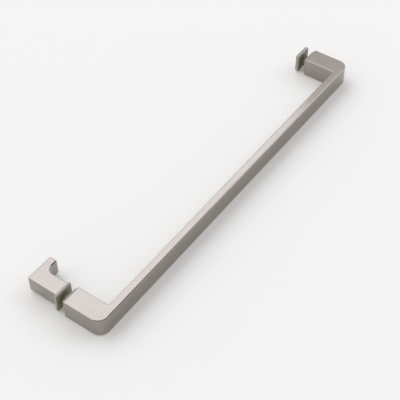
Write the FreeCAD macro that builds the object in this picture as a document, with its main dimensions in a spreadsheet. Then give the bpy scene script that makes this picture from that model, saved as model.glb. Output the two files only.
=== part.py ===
# Shower door handle: a flat towel-bar handle outside the glass, and inside it
# a finger pull at one end and a plain square cap plate at the other.
#
# Frame: X runs along the bar from the pull end to the plain end, Y points through
# the glass to its inside, Z is up. The origin lies midway between the two glass
# holes, on the outer face of the glass.

import FreeCAD
import Part
import Sketcher
import os

doc = FreeCAD.newDocument("shower_door_handle")

# Driving dimensions in millimetres
SIZES = {
    # The bar and its two posts
    "stud_spacing": 457.2,
    "post_width": 24.0,
    "body_height": 24.0,
    "bar_depth": 9.0,
    "post_reach": 48.8,
    "outer_corner_radius": 12.0,
    "inner_corner_radius": 2.0,
    "long_edge_radius": 1.2,
    "post_end_radius": 2.2,
    # The glass, and what keeps the metal off it
    "glass_thickness": 8.0,
    "post_gasket": 1.2,
    "inner_gasket": 2.5,
    "post_gasket_side": 21.0,
    "inner_gasket_side": 23.2,
    "gasket_corner_radius": 1.5,
    "bushing_diameter": 12.0,
    "bushing_play": 0.3,
    "hole_clearance": 0.2,
    # The stud and the screw
    "thread_diameter": 6.0,
    "thread_clearance": 0.05,
    "thread_chamfer": 0.6,
    "stud_in_post": 14.0,
    "stud_in_pull": 16.0,
    "screw_in_post": 12.0,
    "bore_run_out": 2.0,
    "screw_head_diameter": 10.5,
    "screw_head_height": 3.3,
    "screw_head_bevel": 1.4,
    "key_width": 4.0,
    "key_depth": 2.0,
    # The cap plate
    "cap_side": 23.2,
    "cap_thickness": 1.5,
    "cap_corner_radius": 1.8,
    "cap_chamfer": 0.4,
    # The finger pull
    "arm_width": 19.0,
    "arm_height": 19.4,
    "arm_offset": 1.6,
    "pull_reach": 38.8,
    "hook_overhang": 15.7,
    "hook_thickness": 9.8,
    "hook_hollow_radius": 7.5,
    "pull_corner_radius": 1.8,
    "pull_edge_radius": 1.5,
    # The set screw under the pull
    "set_screw_diameter": 5.0,
    "set_screw_offset": 9.0,
    "set_screw_recess": 0.8,
    "set_screw_chamfer": 0.5,
    "set_screw_key": 2.5,
    "set_screw_key_depth": 3.0,
}

sheet = doc.addObject("Spreadsheet::Sheet", "Sizes")
for row, (alias, value) in enumerate(SIZES.items(), start=1):
    sheet.set(f"A{row}", alias)
    sheet.set(f"B{row}", str(value))
    sheet.setAlias(f"B{row}", alias)
doc.recompute()

# A rounding along an edge stays under this share of the corner that it runs round
EDGE_SHARE = 0.9

# Places worked out from the sizes, as expressions
POST_END = "(-Sizes.post_gasket)"
BAR_FRONT = f"({POST_END} - Sizes.post_reach)"
BAR_BACK = f"({BAR_FRONT} + Sizes.bar_depth)"
BODY_TOP = "(Sizes.body_height / 2)"
HALF_POST = "(Sizes.post_width / 2)"
BODY_SIDE = f"(Sizes.stud_spacing / 2 + {HALF_POST})"
POST_INSIDE = f"(Sizes.stud_spacing / 2 - {HALF_POST})"
INNER_SEAT = "(Sizes.glass_thickness + Sizes.inner_gasket)"
CAP_BACK = f"({INNER_SEAT} + Sizes.cap_thickness)"
HEAD_BACK = f"({CAP_BACK} + Sizes.screw_head_height)"
PULL_END = f"({INNER_SEAT} + Sizes.pull_reach)"
HOOK_FACE = f"({PULL_END} - Sizes.hook_thickness)"
ARM_LEFT = "(Sizes.arm_offset - Sizes.arm_width / 2)"
ARM_RIGHT = "(Sizes.arm_offset + Sizes.arm_width / 2)"
ARM_TOP = "(Sizes.arm_height / 2)"
HOOK_TIP = f"({ARM_RIGHT} + Sizes.hook_overhang)"
LONG_EDGE = f"min(Sizes.long_edge_radius, {EDGE_SHARE} * Sizes.post_end_radius)"
PULL_EDGE = f"min(Sizes.pull_edge_radius, {EDGE_SHARE} * Sizes.pull_corner_radius)"
SET_SCREW_PLACE = f"({INNER_SEAT} + Sizes.set_screw_offset)"
THREAD_RADIUS = "(Sizes.thread_diameter / 2)"
HEAD_RADIUS = "(Sizes.screw_head_diameter / 2)"
CHAMFERED = f"({THREAD_RADIUS} - Sizes.thread_chamfer)"
TAPPED_DIAMETER = "(Sizes.thread_diameter + 2 * Sizes.thread_clearance)"
CLEAR_DIAMETER = "(Sizes.thread_diameter + 2 * Sizes.hole_clearance)"
BUSHING_HOLE = "(Sizes.bushing_diameter + 2 * Sizes.hole_clearance)"
PULL_STUD_X = "(-Sizes.stud_spacing / 2)"
CAP_SCREW_X = "(Sizes.stud_spacing / 2)"

TOLERANCE = 1e-4


def value_of(expression):
    """The number that an expression on the sheet gives."""
    return float(sheet.evalExpression(expression))


def new_body(label, stud_x=None, along=None):
    """A body named after its piece, placed on a stud axis and, if told, along it."""
    body = doc.addObject("PartDesign::Body", label)
    body.Label = label
    if stud_x:
        body.setExpression("Placement.Base.x", stud_x)
    if along:
        body.setExpression("Placement.Base.y", along)
    return body


def new_sketch(body, name, role, offset=None):
    """A sketch on one of the body's own origin planes, moved along that plane's normal."""
    sketch = body.newObject("Sketcher::SketchObject", name)
    plane = next(f for f in body.Origin.OriginFeatures if f.Role == role)
    sketch.AttachmentSupport = [(plane, "")]
    sketch.MapMode = "FlatFace"
    if offset:
        sketch.setExpression("AttachmentOffset.Base.z", offset)
    return sketch


def constrain(sketch, kind, geometry, point, expression):
    """Ties one coordinate of a point to an expression."""
    index = sketch.addConstraint(Sketcher.Constraint(kind, geometry, point, value_of(expression)))
    sketch.setExpression(f"Constraints[{index}]", expression)


def draw_polygon(sketch, points):
    """A closed outline through points whose coordinates are expressions."""
    count = len(points)
    places = [FreeCAD.Vector(value_of(x), value_of(y), 0) for x, y in points]
    first = sketch.GeometryCount
    for i in range(count):
        sketch.addGeometry(Part.LineSegment(places[i], places[(i + 1) % count]))
    for i in range(count):
        after = first + (i + 1) % count
        sketch.addConstraint(Sketcher.Constraint("Coincident", first + i, 2, after, 1))
    for i, (x, y) in enumerate(points):
        constrain(sketch, "DistanceX", first + i, 1, x)
        constrain(sketch, "DistanceY", first + i, 1, y)


def draw_rectangle(sketch, half_width, half_height):
    """A rectangle about the sketch's origin."""
    left, low = f"-{half_width}", f"-{half_height}"
    corners = [(left, low), (half_width, low), (half_width, half_height), (left, half_height)]
    draw_polygon(sketch, corners)


def draw_hexagon(sketch, key_width):
    """A hexagon about the sketch's origin, of the given width across its flats."""
    corner = f"{key_width} / sqrt(3)"
    angles = range(0, 360, 60)
    draw_polygon(sketch, [(f"{corner} * cos({a})", f"{corner} * sin({a})") for a in angles])


def draw_circle(sketch, diameter, across="0", up="0"):
    """A circle of the given diameter."""
    centre = FreeCAD.Vector(value_of(across), value_of(up), 0)
    circle = sketch.addGeometry(Part.Circle(centre, FreeCAD.Vector(0, 0, 1), value_of(diameter) / 2))
    constrain(sketch, "DistanceX", circle, 3, across)
    constrain(sketch, "DistanceY", circle, 3, up)
    index = sketch.addConstraint(Sketcher.Constraint("Diameter", circle, value_of(diameter)))
    sketch.setExpression(f"Constraints[{index}]", diameter)


def pad(body, name, sketch, length, symmetric=False, reverse=False):
    """Material along the sketch's normal."""
    feature = body.newObject("PartDesign::Pad", name)
    feature.Profile = sketch
    feature.setExpression("Length", length)
    feature.SideType = "Symmetric" if symmetric else "One side"
    feature.Reversed = reverse
    doc.recompute()
    return feature


def pocket(body, name, sketch, depth, reverse=False):
    """A cut from the sketch, checked to have taken material away."""
    before = body.Shape.Volume
    feature = body.newObject("PartDesign::Pocket", name)
    feature.Profile = sketch
    feature.setExpression("Length", depth)
    feature.Reversed = reverse
    doc.recompute()
    if body.Shape.Volume > before - TOLERANCE:
        raise RuntimeError(f"{name} cuts nothing from {body.Label}")
    return feature


def turn(body, name, sketch):
    """A full revolution about the sketch's own vertical axis."""
    feature = body.newObject("PartDesign::Revolution", name)
    feature.Profile = sketch
    feature.ReferenceAxis = (sketch, ["V_Axis"])
    feature.Angle = 360
    doc.recompute()
    return feature


def ease(body, name, kind, amount, size, chosen):
    """Eases the edges of the body so far that the test picks."""
    base = body.Tip
    edges = [f"Edge{i}" for i, edge in enumerate(base.Shape.Edges, start=1) if chosen(edge)]
    feature = body.newObject(kind, name)
    feature.Base = (base, edges)
    feature.setExpression(amount, size)
    doc.recompute()
    return feature


def fillet(body, name, radius, chosen):
    return ease(body, name, "PartDesign::Fillet", "Radius", radius, chosen)


def chamfer(body, name, size, chosen):
    return ease(body, name, "PartDesign::Chamfer", "Size", size, chosen)


def near(a, b):
    return abs(a - b) < TOLERANCE


def lies_at(edge, **places):
    """True if the whole edge lies at the given x, y or z, in the body's own frame."""
    box = edge.BoundBox
    spans = {"x": (box.XMin, box.XMax), "y": (box.YMin, box.YMax), "z": (box.ZMin, box.ZMax)}
    return all(near(spans[a][0], at) and near(spans[a][1], at) for a, at in places.items())


# Flat bar with a square post at each end, one piece
def make_handle_bar():
    body = new_body("handle_bar")
    front, back, end = value_of(BAR_FRONT), value_of(BAR_BACK), value_of(POST_END)
    side, inside = value_of(BODY_SIDE), value_of(POST_INSIDE)
    top = value_of(BODY_TOP)
    outline = new_sketch(body, "bar_outline", "XY_Plane")
    draw_polygon(
        outline,
        [
            (f"-{BODY_SIDE}", BAR_FRONT),
            (BODY_SIDE, BAR_FRONT),
            (BODY_SIDE, POST_END),
            (POST_INSIDE, POST_END),
            (POST_INSIDE, BAR_BACK),
            (f"-{POST_INSIDE}", BAR_BACK),
            (f"-{POST_INSIDE}", POST_END),
            (f"-{BODY_SIDE}", POST_END),
        ],
    )
    pad(body, "bar_pad", outline, "Sizes.body_height", symmetric=True)

    def at_corner(edge, x, y):
        return lies_at(edge, x=x, y=y) or lies_at(edge, x=-x, y=y)

    def across_end(edge):
        return lies_at(edge, y=end, z=top) or lies_at(edge, y=end, z=-top)

    def along_post(edge):
        return any(lies_at(edge, x=x, z=z) for x in (-side, -inside, inside, side) for z in (-top, top))

    fillet(body, "outer_corners", "Sizes.outer_corner_radius", lambda e: at_corner(e, side, front))
    fillet(body, "inner_corners", "Sizes.inner_corner_radius", lambda e: at_corner(e, inside, back))
    fillet(body, "post_ends", "Sizes.post_end_radius", across_end)
    # From the posts this rounding runs on along the bar and round the posts' ends
    fillet(body, "long_edges", LONG_EDGE, along_post)
    for name, stud_x, depth in (
        ("stud_bore", PULL_STUD_X, "Sizes.stud_in_post"),
        ("screw_bore", CAP_SCREW_X, "Sizes.screw_in_post"),
    ):
        circle = new_sketch(body, f"{name}_circle", "XZ_Plane", f"-{POST_END}")
        draw_circle(circle, TAPPED_DIAMETER, across=stud_x)
        pocket(body, name, circle, f"{depth} + Sizes.bore_run_out", reverse=True)
    return body


# J-shaped pull, one solid piece
def make_finger_pull():
    body = new_body("finger_pull", PULL_STUD_X)
    left, right, top = value_of(ARM_LEFT), value_of(ARM_RIGHT), value_of(ARM_TOP)
    foot = value_of(INNER_SEAT)
    hook_face, pull_end, hook_tip = value_of(HOOK_FACE), value_of(PULL_END), value_of(HOOK_TIP)
    outline = new_sketch(body, "pull_outline", "XY_Plane")
    draw_polygon(
        outline,
        [
            (ARM_LEFT, INNER_SEAT),
            (ARM_RIGHT, INNER_SEAT),
            (ARM_RIGHT, HOOK_FACE),
            (HOOK_TIP, HOOK_FACE),
            (HOOK_TIP, PULL_END),
            (ARM_LEFT, PULL_END),
        ],
    )
    pad(body, "pull_pad", outline, "Sizes.arm_height", symmetric=True)

    def in_hook(edge):
        return lies_at(edge, x=right, y=hook_face)

    def outer_corner(edge):
        at_end = lies_at(edge, x=left, y=pull_end) or lies_at(edge, x=hook_tip, y=pull_end)
        return at_end or lies_at(edge, x=hook_tip, y=hook_face)

    def on_rim(edge):
        level = lies_at(edge, z=top) or lies_at(edge, z=-top)
        return level and not lies_at(edge, y=foot)

    fillet(body, "hook_hollow", "Sizes.hook_hollow_radius", in_hook)
    fillet(body, "pull_corners", "Sizes.pull_corner_radius", outer_corner)
    fillet(body, "pull_edges", PULL_EDGE, on_rim)

    bore = new_sketch(body, "stud_bore_circle", "XZ_Plane", f"-{INNER_SEAT}")
    draw_circle(bore, TAPPED_DIAMETER)
    pocket(body, "stud_bore", bore, "Sizes.stud_in_pull + Sizes.bore_run_out")
    hole = new_sketch(body, "set_screw_circle", "XY_Plane", f"-{ARM_TOP}")
    draw_circle(hole, "Sizes.set_screw_diameter + 2 * Sizes.thread_clearance", up=SET_SCREW_PLACE)
    pocket(body, "set_screw_hole", hole, ARM_TOP, reverse=True)
    return body


def make_square_washer(label, stud_x, face, thickness, side, corner_radius, hole):
    """A square plate with rounded corners and a round hole, standing on a face square to the stud."""
    body = new_body(label, stud_x)
    square = new_sketch(body, f"{label}_outline", "XZ_Plane", f"-{face}")
    half_side = f"({side} / 2)"
    draw_rectangle(square, half_side, half_side)
    draw_circle(square, hole)
    pad(body, f"{label}_pad", square, thickness, reverse=True)
    half = value_of(half_side)
    corners = [(a * half, b * half) for a in (-1, 1) for b in (-1, 1)]

    def at_corner(edge):
        return any(lies_at(edge, x=x, z=z) for x, z in corners)

    fillet(body, f"{label}_corners", corner_radius, at_corner)
    return body


# Square back plate at the plain end, under the screw's head
def make_cap_plate():
    body = make_square_washer(
        "cap_plate",
        CAP_SCREW_X,
        INNER_SEAT,
        "Sizes.cap_thickness",
        "Sizes.cap_side",
        "Sizes.cap_corner_radius",
        CLEAR_DIAMETER,
    )
    back, hole_radius = value_of(CAP_BACK), value_of(CLEAR_DIAMETER) / 2

    def on_rim(edge):
        round_hole = near(edge.BoundBox.XMax, hole_radius) and near(edge.BoundBox.XMin, -hole_radius)
        return lies_at(edge, y=back) and not round_hole

    chamfer(body, "cap_edges", "Sizes.cap_chamfer", on_rim)
    return body


# Threaded stud between the post and the pull
def make_pull_stud():
    body = new_body("pull_stud", PULL_STUD_X)
    low = f"({POST_END} - Sizes.stud_in_post)"
    high = f"({INNER_SEAT} + Sizes.stud_in_pull)"
    profile = new_sketch(body, "stud_profile", "XY_Plane")
    draw_polygon(
        profile,
        [
            ("0", low),
            (CHAMFERED, low),
            (THREAD_RADIUS, f"{low} + Sizes.thread_chamfer"),
            (THREAD_RADIUS, f"{high} - Sizes.thread_chamfer"),
            (CHAMFERED, high),
            ("0", high),
        ],
    )
    turn(body, "stud", profile)
    return body


# Bevel-headed screw with a hexagon socket, through the cap plate
def make_cap_screw():
    body = new_body("cap_screw", CAP_SCREW_X)
    low = f"({POST_END} - Sizes.screw_in_post)"
    profile = new_sketch(body, "screw_profile", "XY_Plane")
    draw_polygon(
        profile,
        [
            ("0", low),
            (CHAMFERED, low),
            (THREAD_RADIUS, f"{low} + Sizes.thread_chamfer"),
            (THREAD_RADIUS, CAP_BACK),
            (HEAD_RADIUS, CAP_BACK),
            (HEAD_RADIUS, f"{HEAD_BACK} - Sizes.screw_head_bevel"),
            (f"{HEAD_RADIUS} - Sizes.screw_head_bevel", HEAD_BACK),
            ("0", HEAD_BACK),
        ],
    )
    turn(body, "screw", profile)
    socket = new_sketch(body, "socket_hexagon", "XZ_Plane", f"-{HEAD_BACK}")
    draw_hexagon(socket, "Sizes.key_width")
    pocket(body, "socket", socket, "Sizes.key_depth", reverse=True)
    return body


# Grub screw that locks the pull on its stud
def make_set_screw():
    body = new_body("set_screw", PULL_STUD_X, SET_SCREW_PLACE)
    low = f"(Sizes.set_screw_recess - {ARM_TOP})"
    high = f"(-{TAPPED_DIAMETER} / 2)"
    radius = "(Sizes.set_screw_diameter / 2)"
    inner = f"({radius} - Sizes.set_screw_chamfer)"
    profile = new_sketch(body, "set_screw_profile", "XZ_Plane")
    draw_polygon(
        profile,
        [
            ("0", low),
            (inner, low),
            (radius, f"{low} + Sizes.set_screw_chamfer"),
            (radius, f"{high} - Sizes.set_screw_chamfer"),
            (inner, high),
            ("0", high),
        ],
    )
    turn(body, "grub", profile)
    socket = new_sketch(body, "set_screw_hexagon", "XY_Plane", low)
    draw_hexagon(socket, "Sizes.set_screw_key")
    pocket(body, "set_screw_socket", socket, "Sizes.set_screw_key_depth", reverse=True)
    return body


# Gasket between metal and glass, with a hole for the bushing
def make_gasket(label, stud_x, face, thickness, side):
    corner_radius = "Sizes.gasket_corner_radius"
    return make_square_washer(label, stud_x, face, thickness, side, corner_radius, BUSHING_HOLE)


def make_post_gasket(label, stud_x):
    return make_gasket(label, stud_x, POST_END, "Sizes.post_gasket", "Sizes.post_gasket_side")


def make_inner_gasket(label, stud_x):
    glass = "Sizes.glass_thickness"
    return make_gasket(label, stud_x, glass, "Sizes.inner_gasket", "Sizes.inner_gasket_side")


# Plastic sleeve that keeps the metal off the glass inside its hole
def make_bushing(label, stud_x):
    body = new_body(label, stud_x)
    ring = new_sketch(body, f"{label}_ring", "XZ_Plane", f"-{POST_END}")
    draw_circle(ring, "Sizes.bushing_diameter")
    draw_circle(ring, CLEAR_DIAMETER)
    length = f"{INNER_SEAT} - {POST_END} - Sizes.bushing_play"
    pad(body, f"{label}_pad", ring, length, reverse=True)
    return body


pieces = [
    make_handle_bar(),
    make_finger_pull(),
    make_cap_plate(),
    make_pull_stud(),
    make_cap_screw(),
    make_set_screw(),
    make_post_gasket("post_gasket_pull_end", PULL_STUD_X),
    make_post_gasket("post_gasket_plain_end", CAP_SCREW_X),
    make_inner_gasket("pull_gasket", PULL_STUD_X),
    make_inner_gasket("cap_gasket", CAP_SCREW_X),
    make_bushing("bushing_pull_end", PULL_STUD_X),
    make_bushing("bushing_plain_end", CAP_SCREW_X),
]
doc.recompute()

for item in doc.Objects:
    if "Invalid" in item.State or "Error" in item.State:
        raise RuntimeError(f"{item.Name} failed: {item.State}")
for piece in pieces:
    if piece.Shape.isNull() or not piece.Shape.isValid() or len(piece.Shape.Solids) != 1:
        raise RuntimeError(f"{piece.Label} is not one valid solid")

os.makedirs("parts", exist_ok=True)
for piece in pieces:
    piece.Shape.exportStep(f"parts/{piece.Label}.step")
    print(piece.Label, round(piece.Shape.Volume, 1), "mm3")
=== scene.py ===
# Shower door handle: finishes, floor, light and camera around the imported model.
# Everything is in metres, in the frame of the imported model.

import bpy
from mathutils import Matrix, Vector


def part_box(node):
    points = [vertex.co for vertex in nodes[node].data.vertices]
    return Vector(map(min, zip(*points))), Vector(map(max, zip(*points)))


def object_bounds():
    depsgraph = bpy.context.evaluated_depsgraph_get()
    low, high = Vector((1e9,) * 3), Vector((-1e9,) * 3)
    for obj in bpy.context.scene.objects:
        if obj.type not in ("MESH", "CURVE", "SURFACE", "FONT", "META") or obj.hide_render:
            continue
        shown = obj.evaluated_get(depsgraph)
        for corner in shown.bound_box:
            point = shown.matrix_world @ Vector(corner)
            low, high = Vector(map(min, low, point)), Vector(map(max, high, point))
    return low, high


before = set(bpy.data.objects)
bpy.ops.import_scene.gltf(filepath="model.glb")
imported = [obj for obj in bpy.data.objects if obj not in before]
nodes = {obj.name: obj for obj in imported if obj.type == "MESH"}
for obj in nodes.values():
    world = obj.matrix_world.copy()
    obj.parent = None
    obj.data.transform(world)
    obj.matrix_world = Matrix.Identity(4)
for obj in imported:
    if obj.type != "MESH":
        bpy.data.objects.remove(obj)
cad_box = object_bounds()
MM = 0.001

# Colours, linear
NICKEL = (0.369, 0.336, 0.303)
STEEL = (0.42, 0.42, 0.41)
VINYL = (0.42, 0.4, 0.35)
# Painted shade: the gaskets' faces, darker and olive where they lie in the gap between the parts
VINYL_PAINTED_SHADE = (0.3, 0.283, 0.18)
NYLON = (0.17, 0.155, 0.09)
FLOOR = (0.935, 0.92, 0.88)

# The whole of a range, and the middle of a noise's range, where most of its values are
WHOLE = (0.0, 1.0)
MIDDLE = (0.3, 0.7)

# Satin nickel: how often its brushed lines repeat across and along them, per metre, the clouds between
# them and their share, and how far both change its shade, its roughness and its relief
LINE_PITCH = 1100.0
LINE_SPREAD = 25.0
LINE_NOISE = {"Scale": 1.0, "Detail": 3.0}
CLOUD_NOISE = {"Scale": 45.0, "Detail": 4.0}
CLOUD_SHARE = 0.45
NICKEL_SHADES = (0.94, 1.05)
NICKEL_ROUGHNESS = (0.07, 0.13)
LINE_RELIEF = {"Strength": 0.02, "Distance": 0.02 * MM}
POST_WIDTH = 24.0 * MM

# Turned steel
STEEL_NOISE = {"Scale": 900.0, "Detail": 2.0}
STEEL_SHADES = (0.85, 1.1)
STEEL_ROUGHNESS = (0.25, 0.4)

# Vinyl, and the painted shade on the gaskets' faces: the width of the unshaded edge round it, and how
# far the shade fades
VINYL_NOISE = {"Scale": 160.0, "Detail": 4.0}
VINYL_ROUGHNESS = (0.4, 0.55)
VINYL_IOR = 1.52
SHADE_FREE_EDGE = 1.6 * MM
PAINTED_SHADE_FADE = 0.3 * MM

# Nylon, and how much light gets into it and how deep
NYLON_NOISE = {"Scale": 220.0, "Detail": 3.0}
NYLON_SHADES = (0.85, 1.1)
NYLON_ROUGHNESS = 0.42
NYLON_IOR = 1.53
NYLON_MILKINESS = 0.25
NYLON_DEPTH = 1.0 * MM

# The floor, round and just clear of the lowest edge
FLOOR_RADIUS = 6.0
FLOOR_SIDES = 96
FLOOR_GAP = 0.02 * MM
FLOOR_ROUGHNESS = 0.9
FLOOR_SHEEN = 0.1
FLOOR_GLOW = 0.12

# Lamps: a softbox above and beyond the object and a smaller one before its far end, both far off so
# that they light the floor evenly
OVERHEAD = {"at": (3.0, 14.5, 15.0), "faces": (3.0, 14.5, 0.0), "sides": (24.0, 20.0), "power": 1500.0}
SIDE = {"at": (9.5, -5.0, 8.0), "faces": (0.2, -0.1, 0.0), "sides": (8.0, 8.0), "power": 350.0}
LIGHT_TINT = (0.97, 1.0, 1.1)

# Walls: their directions, the turn from the dim side before the object to the bright one beyond it,
# the dark curtain before it that draws the bar's front edge, and the pale horizon
WALL_COLOUR = (1.0, 1.0, 1.02)
RIGHT = Vector((1.0, 0.0, 0.0))
UP = Vector((0.0, 0.0, 1.0))
WALL_AHEAD = Vector((0.1, 0.93, -0.3))
WALL_TURN = (-0.02, 0.09)
WALL_DIM = 0.42
WALL_BRIGHT = 0.95
CURTAIN_AT = 0.46
CURTAIN_EDGE = (0.06, 0.11)
CURTAIN_FOOT = (0.52, 0.64)
CURTAIN_DIM = 0.05
HORIZON = 0.86
HORIZON_TOP = (0.2, 0.3)

# The camera, from the photo's perspective
CAMERA_AT = Vector((-0.6374, -0.4628, 0.79858))
CAMERA_AHEAD = Vector((0.54758, 0.4008, -0.73452))
CAMERA_UP = Vector((0.60117, 0.42215, 0.67852))
CAMERA_LENS = 89.3
IMAGE_SIDE = 400
HALF_PIXEL = 0.5 / IMAGE_SIDE


def rgba(colour):
    return (*colour, 1.0)


def shades(colour, factors):
    return [[channel * factor for channel in colour] for factor in factors]


class Nodes:
    """The node tree of a material or a world, its shader, and short ways to add nodes to it."""

    # The kinds of value that a mix node has sockets for, in their order
    MIXES = ("FLOAT", "VECTOR")

    def __init__(self, owner, shader):
        owner.use_nodes = True
        self.tree = owner.node_tree
        self.shader = self.tree.nodes[shader]

    def set(self, **values):
        for name, value in values.items():
            self.shader.inputs[name.replace("_", " ")].default_value = value

    def feed(self, socket, output):
        self.tree.links.new(output, self.shader.inputs[socket])

    def node(self, kind, inputs=None, **settings):
        made = self.tree.nodes.new(kind)
        for name, value in settings.items():
            setattr(made, name, value)
        for name, value in (inputs or {}).items():
            if isinstance(value, bpy.types.NodeSocket):
                self.tree.links.new(value, made.inputs[name])
            else:
                made.inputs[name].default_value = value
        return made

    def math(self, operation, *values):
        return self.node("ShaderNodeMath", dict(enumerate(values)), operation=operation).outputs[0]

    def mix(self, share, first, second, kind="FLOAT"):
        """A mix of two values. Its node has a share for each kind, then two sockets for each kind."""
        order = self.MIXES.index(kind)
        start = len(self.MIXES) + 2 * order
        sockets = {0: share, start: first, start + 1: second}
        return self.node("ShaderNodeMix", sockets, data_type=kind).outputs[order]

    def fade(self, value, edges, before, after, course="LINEAR"):
        """One level before the edges and another after them."""
        steps = {"From Min": edges[0], "From Max": edges[1], "To Min": before, "To Max": after}
        made = self.node("ShaderNodeMapRange", {"Value": value, **steps}, interpolation_type=course)
        return made.outputs[0]


class Finish(Nodes):
    """A material with one principled shader."""

    def __init__(self, name):
        self.material = bpy.data.materials.new(name)
        super().__init__(self.material, "Principled BSDF")

    def place(self):
        return self.node("ShaderNodeTexCoord").outputs["Object"]

    def split(self, place):
        return self.node("ShaderNodeSeparateXYZ", {0: place}).outputs

    def stretch(self, place, axis):
        """The place, scaled so that noise is drawn out into lines along one axis."""
        scales = [LINE_SPREAD if letter == axis else LINE_PITCH for letter in "XYZ"]
        return self.node("ShaderNodeMapping", {"Vector": place, "Scale": scales}).outputs[0]

    def noise(self, place, grain):
        return self.node("ShaderNodeTexNoise", {"Vector": place, **grain}).outputs[0]

    def tint(self, value, colours, span=WHOLE):
        """Lets a value run the base colour from one colour to another."""
        ramp = self.node("ShaderNodeValToRGB", {"Fac": value})
        for stop, position, colour in zip(ramp.color_ramp.elements, span, colours):
            stop.position = position
            stop.color = rgba(colour)
        self.feed("Base Color", ramp.outputs[0])

    def roughen(self, value, limits, span=WHOLE):
        """Lets a value run the roughness from one limit to the other."""
        self.feed("Roughness", self.fade(value, span, *limits))


# Satin nickel with fine brushing along one axis, and along another beyond a distance from the middle
def satin_nickel(name, along, beyond=None, along_beyond=None):
    finish = Finish(name)
    finish.set(Metallic=1.0)
    place = finish.place()
    drawn = finish.stretch(place, along)
    if beyond:
        across = finish.math("ABSOLUTE", finish.split(place)["X"])
        past = finish.math("GREATER_THAN", across, beyond)
        drawn = finish.mix(past, drawn, finish.stretch(place, along_beyond), "VECTOR")
    lines = finish.noise(drawn, LINE_NOISE)
    grain = finish.mix(CLOUD_SHARE, lines, finish.noise(place, CLOUD_NOISE))
    finish.tint(grain, shades(NICKEL, NICKEL_SHADES), MIDDLE)
    finish.roughen(grain, NICKEL_ROUGHNESS, MIDDLE)
    finish.feed("Normal", finish.node("ShaderNodeBump", {"Height": lines, **LINE_RELIEF}).outputs[0])
    return finish.material


# Stainless steel as it comes off the lathe
def turned_steel():
    finish = Finish("turned_steel")
    finish.set(Metallic=1.0)
    grain = finish.noise(finish.place(), STEEL_NOISE)
    finish.tint(grain, shades(STEEL, STEEL_SHADES))
    finish.roughen(grain, STEEL_ROUGHNESS)
    return finish.material


# Soft vinyl, its face darkened to olive by painted shade where it lies in the gap between the parts,
# and plain vinyl round its edge
def grey_vinyl(name, gasket):
    finish = Finish(name)
    finish.set(IOR=VINYL_IOR)
    low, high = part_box(gasket)
    stud_x = abs(low[0] + high[0]) / 2
    shaded_face_half = (high[2] - low[2]) / 2 - SHADE_FREE_EDGE
    place = finish.place()
    parts = finish.split(place)
    across = finish.math("SUBTRACT", finish.math("ABSOLUTE", parts["X"]), stud_x)
    out = finish.math("MAXIMUM", finish.math("ABSOLUTE", across), finish.math("ABSOLUTE", parts["Z"]))
    # Painted shade: inside the border the face takes the darker shaded colour, and only its edge keeps
    # the plain vinyl
    unshaded_edge = finish.fade(out, (shaded_face_half, shaded_face_half + PAINTED_SHADE_FADE), *WHOLE)
    finish.tint(unshaded_edge, (VINYL_PAINTED_SHADE, VINYL))
    finish.roughen(finish.noise(place, VINYL_NOISE), VINYL_ROUGHNESS, MIDDLE)
    return finish.material


# Natural nylon, slightly translucent
def natural_nylon():
    finish = Finish("natural_nylon")
    finish.set(Roughness=NYLON_ROUGHNESS, IOR=NYLON_IOR)
    finish.set(Subsurface_Weight=NYLON_MILKINESS, Subsurface_Scale=NYLON_DEPTH)
    finish.tint(finish.noise(finish.place(), NYLON_NOISE), shades(NYLON, NYLON_SHADES))
    return finish.material


def dress(node, material):
    nodes[node].data.materials.clear()
    nodes[node].data.materials.append(material)


post_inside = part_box("handle_bar")[1][0] - POST_WIDTH
bar_nickel = satin_nickel("satin_nickel_bar", "X", post_inside, "Y")
pull_nickel = satin_nickel("satin_nickel_pull", "Y")
plate_nickel = satin_nickel("satin_nickel_plate", "Z")
steel = turned_steel()
post_vinyl = grey_vinyl("grey_vinyl_post", "post_gasket_pull_end")
inner_vinyl = grey_vinyl("grey_vinyl_inner", "pull_gasket")
nylon = natural_nylon()
dress("handle_bar", bar_nickel)
dress("finger_pull", pull_nickel)
dress("cap_plate", plate_nickel)
for fastener in ("pull_stud", "cap_screw", "set_screw"):
    dress(fastener, steel)
for gasket in ("post_gasket_pull_end", "post_gasket_plain_end"):
    dress(gasket, post_vinyl)
for gasket in ("pull_gasket", "cap_gasket"):
    dress(gasket, inner_vinyl)
for bushing in ("bushing_pull_end", "bushing_plain_end"):
    dress(bushing, nylon)


# Pale floor under the lowest edge, lifted to the photo's white where it is seen or mirrored
def make_floor():
    bpy.ops.mesh.primitive_circle_add(vertices=FLOOR_SIDES, radius=FLOOR_RADIUS, fill_type="NGON")
    floor = bpy.context.object
    floor.name = "floor"
    floor.location.z = cad_box[0][2] - FLOOR_GAP
    finish = Finish("floor")
    finish.set(Base_Color=rgba(FLOOR), Roughness=FLOOR_ROUGHNESS, Specular_IOR_Level=FLOOR_SHEEN)
    finish.set(Emission_Color=rgba(FLOOR))
    path = finish.node("ShaderNodeLightPath").outputs
    mirrored = finish.math("MAXIMUM", path["Is Glossy Ray"], path["Is Transmission Ray"])
    shown = finish.math("MAXIMUM", path["Is Camera Ray"], mirrored)
    finish.feed("Emission Strength", finish.math("MULTIPLY", shown, FLOOR_GLOW))
    floor.data.materials.append(finish.material)


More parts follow.
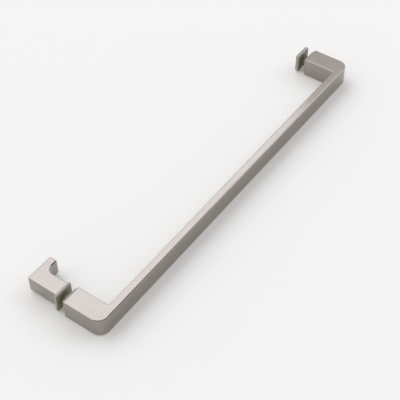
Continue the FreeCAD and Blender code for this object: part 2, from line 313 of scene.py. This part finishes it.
# Walls all round: pale at the horizon, and above it brighter on the far side, with a dark curtain
# on the near side
def make_walls():
    world = bpy.data.worlds.new("studio")
    bpy.context.scene.world = world
    walls = Nodes(world, "Background")
    walls.set(Color=rgba(WALL_COLOUR))
    way = walls.node("ShaderNodeTexCoord").outputs["Generated"]

    def along(direction):
        dot = walls.node("ShaderNodeVectorMath", {0: way, 1: direction}, operation="DOT_PRODUCT")
        return dot.outputs["Value"]

    def blend(value, edges, before, after):
        return walls.fade(value, edges, before, after, "SMOOTHSTEP")

    aside = walls.math("ABSOLUTE", walls.math("SUBTRACT", along(RIGHT), CURTAIN_AT))
    height = along(UP)
    curtain = blend(aside, CURTAIN_EDGE, CURTAIN_DIM, WALL_DIM)
    near = blend(height, CURTAIN_FOOT, WALL_DIM, curtain)
    wall = blend(along(WALL_AHEAD), WALL_TURN, near, WALL_BRIGHT)
    low = blend(height, HORIZON_TOP, 1.0, 0.0)
    walls.feed("Strength", walls.mix(low, wall, HORIZON))


def make_softbox(name, box):
    lamp = bpy.data.lights.new(name, "AREA")
    lamp.shape = "RECTANGLE"
    lamp.size, lamp.size_y = box["sides"]
    lamp.energy = box["power"]
    lamp.color = LIGHT_TINT
    softbox = bpy.data.objects.new(name, lamp)
    softbox.location = box["at"]
    way = Vector(box["faces"]) - softbox.location
    softbox.rotation_euler = way.to_track_quat("-Z", "Y").to_euler()
    bpy.context.scene.collection.objects.link(softbox)


def make_camera():
    camera = bpy.data.objects.new("camera", bpy.data.cameras.new("camera"))
    bpy.context.scene.collection.objects.link(camera)
    right = CAMERA_AHEAD.cross(CAMERA_UP)
    turn = Matrix((right, CAMERA_UP, -CAMERA_AHEAD)).transposed()
    camera.matrix_world = Matrix.Translation(CAMERA_AT) @ turn.to_4x4()
    camera.data.lens = CAMERA_LENS
    camera.data.shift_x = -HALF_PIXEL
    camera.data.shift_y = HALF_PIXEL
    bpy.context.scene.camera = camera


make_floor()
make_walls()
make_softbox("overhead", OVERHEAD)
make_softbox("side", SIDE)
make_camera()
bpy.context.scene.view_settings.view_transform = "Standard"
